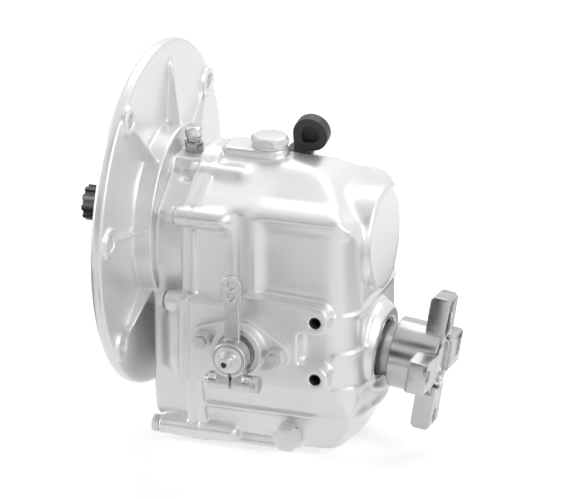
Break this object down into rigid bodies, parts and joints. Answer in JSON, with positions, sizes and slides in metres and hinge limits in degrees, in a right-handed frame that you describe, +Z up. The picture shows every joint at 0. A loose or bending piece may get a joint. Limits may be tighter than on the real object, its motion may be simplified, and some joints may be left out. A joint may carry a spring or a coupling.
{
  "type": "marine gearbox",
  "caption": "Small marine reversing gearbox: round engine flange, white cast casing, splined input, side shift lever and a down-angled output shaft with an arm coupling.",
  "frame": {"origin": "centre of the engine flange, on its engine-side face and on the input shaft's axis", "axes": "+X along the input shaft towards the propeller, +Z up, and the lever side is -Y"},
  "size_m": [0.2774, 0.252, 0.283],
  "materials": {
    "white_paint": "gloss paint on a casting",
    "steel": "ground",
    "dark_steel": "oiled",
    "zinc": "zinc plated",
    "chrome": "polished",
    "bronze": "machined",
    "rubber": "matt",
    "paper": "gasket paper",
    "black_plastic": "moulded"
  },
  "bodies": {
    "casing": {"front_case": "white_paint", "rear_case": "white_paint", "case_gasket": "paper", "case_bolts": "white_paint", "case_dowels": "steel", "input_bearing_outer": "steel", "input_seal": "rubber", "output_bearing_outer": "steel", "output_seal": "rubber", "idler_shaft": "steel", "selector_cover": "white_paint", "cover_gasket": "paper", "cover_studs": "zinc", "cover_nuts": "white_paint", "shaft_bush": "zinc", "shaft_o_ring": "rubber", "filler_plug": "white_paint", "filler_washer": "bronze", "drain_plug": "white_paint", "drain_washer": "bronze", "breather_base": "dark_steel", "breather_cap": "chrome"},
    "input": {"input_shaft": "dark_steel", "input_bearing_inner": "steel", "input_bearing_rollers": "chrome"},
    "forward": {"forward_gear": "steel"},
    "reverse": {"reverse_gear": "steel"},
    "idler": {"idler_gear": "steel", "idler_bush": "bronze"},
    "output": {"output_shaft": "steel", "output_bearing_inner": "steel", "output_bearing_rollers": "chrome", "gear_bushes": "bronze", "thrust_washers": "bronze", "output_coupling": "chrome", "coupling_nut": "zinc"},
    "clutch": {"clutch_sleeve": "steel"},
    "lever": {"shift_shaft": "zinc", "shift_lever": "zinc", "lever_clamp_bolt": "zinc"},
    "shoe": {"shift_shoe": "bronze"},
    "dipstick": {"dipstick_handle": "black_plastic", "dipstick_blade": "steel", "dipstick_o_ring": "rubber"}
  },
  "joints": [
    {"name": "input_spin", "type": "hinge", "parent": "casing", "child": "input", "pos_m": [0, 0, 0], "axis": [1, 0, 0], "continuous": true},
    {"name": "forward_spin", "type": "hinge", "parent": "casing", "child": "forward", "pos_m": [0.092, 0, -0.0745], "axis": [0.9925, 0, -0.1219], "continuous": true},
    {"name": "idler_spin", "type": "hinge", "parent": "casing", "child": "idler", "pos_m": [0.12578, 0.02834, -0.02508], "axis": [0.9981, 0, -0.061], "continuous": true},
    {"name": "reverse_spin", "type": "hinge", "parent": "casing", "child": "reverse", "pos_m": [0.092, 0, -0.0745], "axis": [0.9925, 0, -0.1219], "continuous": true},
    {"name": "output_spin", "type": "hinge", "parent": "casing", "child": "output", "pos_m": [0.092, 0, -0.0745], "axis": [0.9925, 0, -0.1219], "continuous": true},
    {"name": "clutch_slide", "type": "slide", "parent": "output", "child": "clutch", "axis": [0.9925, 0, -0.1219], "range_m": [-0.00229, 0.00229]},
    {"name": "lever_turn", "type": "hinge", "parent": "casing", "child": "lever", "pos_m": [0.09304, 0, -0.06606], "axis": [0, 1, 0], "range_deg": [-35, 35]},
    {"name": "shoe_turn", "type": "hinge", "parent": "lever", "child": "shoe", "pos_m": [0.09255, 0, -0.07003], "axis": [0, 1, 0], "range_deg": [-36, 36]},
    {"name": "dipstick_pull", "type": "slide", "parent": "casing", "child": "dipstick", "axis": [0, -0.1908, 0.9816], "range_m": [0, 0.15]}
  ],
  "couplings": [
    {"joint": "forward_spin", "follows": "input_spin", "ratio": -0.51351},
    {"joint": "idler_spin", "follows": "input_spin", "ratio": -1.1429},
    {"joint": "reverse_spin", "follows": "input_spin", "ratio": 0.47059},
    {"joint": "lever_turn", "follows": "clutch_slide", "rad_per_m": -266.25},
    {"joint": "shoe_turn", "follows": "clutch_slide", "rad_per_m": 266.25}
  ]
}
